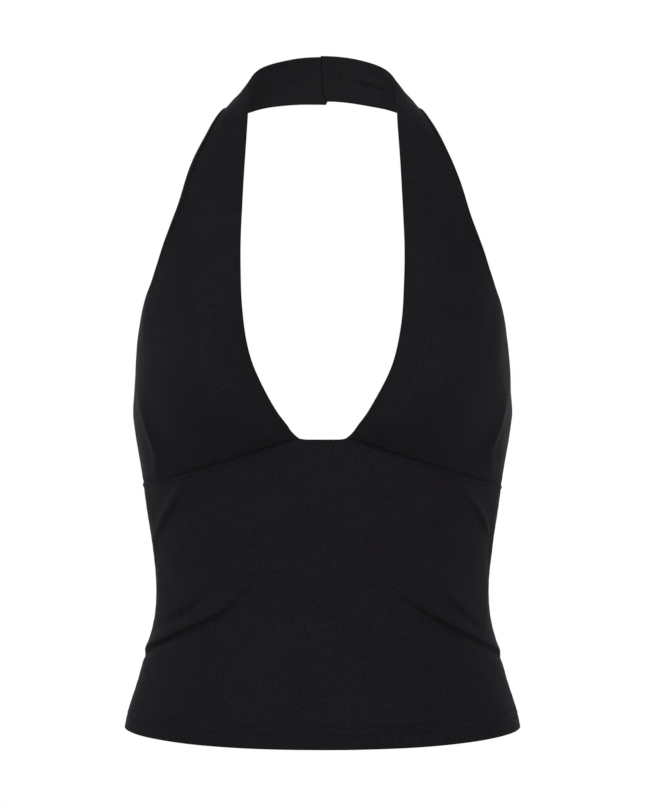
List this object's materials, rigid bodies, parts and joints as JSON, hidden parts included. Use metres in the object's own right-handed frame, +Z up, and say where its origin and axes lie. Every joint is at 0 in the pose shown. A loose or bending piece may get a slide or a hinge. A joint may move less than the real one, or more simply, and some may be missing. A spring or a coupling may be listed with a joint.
{
  "type": "halter neck top",
  "caption": "Worn-form halter neck top in stretch jersey: fitted cropped body, cups joined at under-bust seams, and a strap that loops behind the neck.",
  "frame": {"origin": "on the inner face of the neck strap, half way up its centre-back seam, where the wearer's neck holds the top up", "axes": "+Z up, -Y the way the wearer faces, +X to the right of someone looking at the front"},
  "size_m": [0.286, 0.2187, 0.4914],
  "materials": {
    "jersey": "fine black stretch jersey knit, matt with a soft sheen at glancing angles"
  },
  "bodies": {
    "root": {"front_body": "jersey", "back_body": "jersey", "halter_left": "jersey", "halter_right": "jersey"}
  },
  "joints": []
}
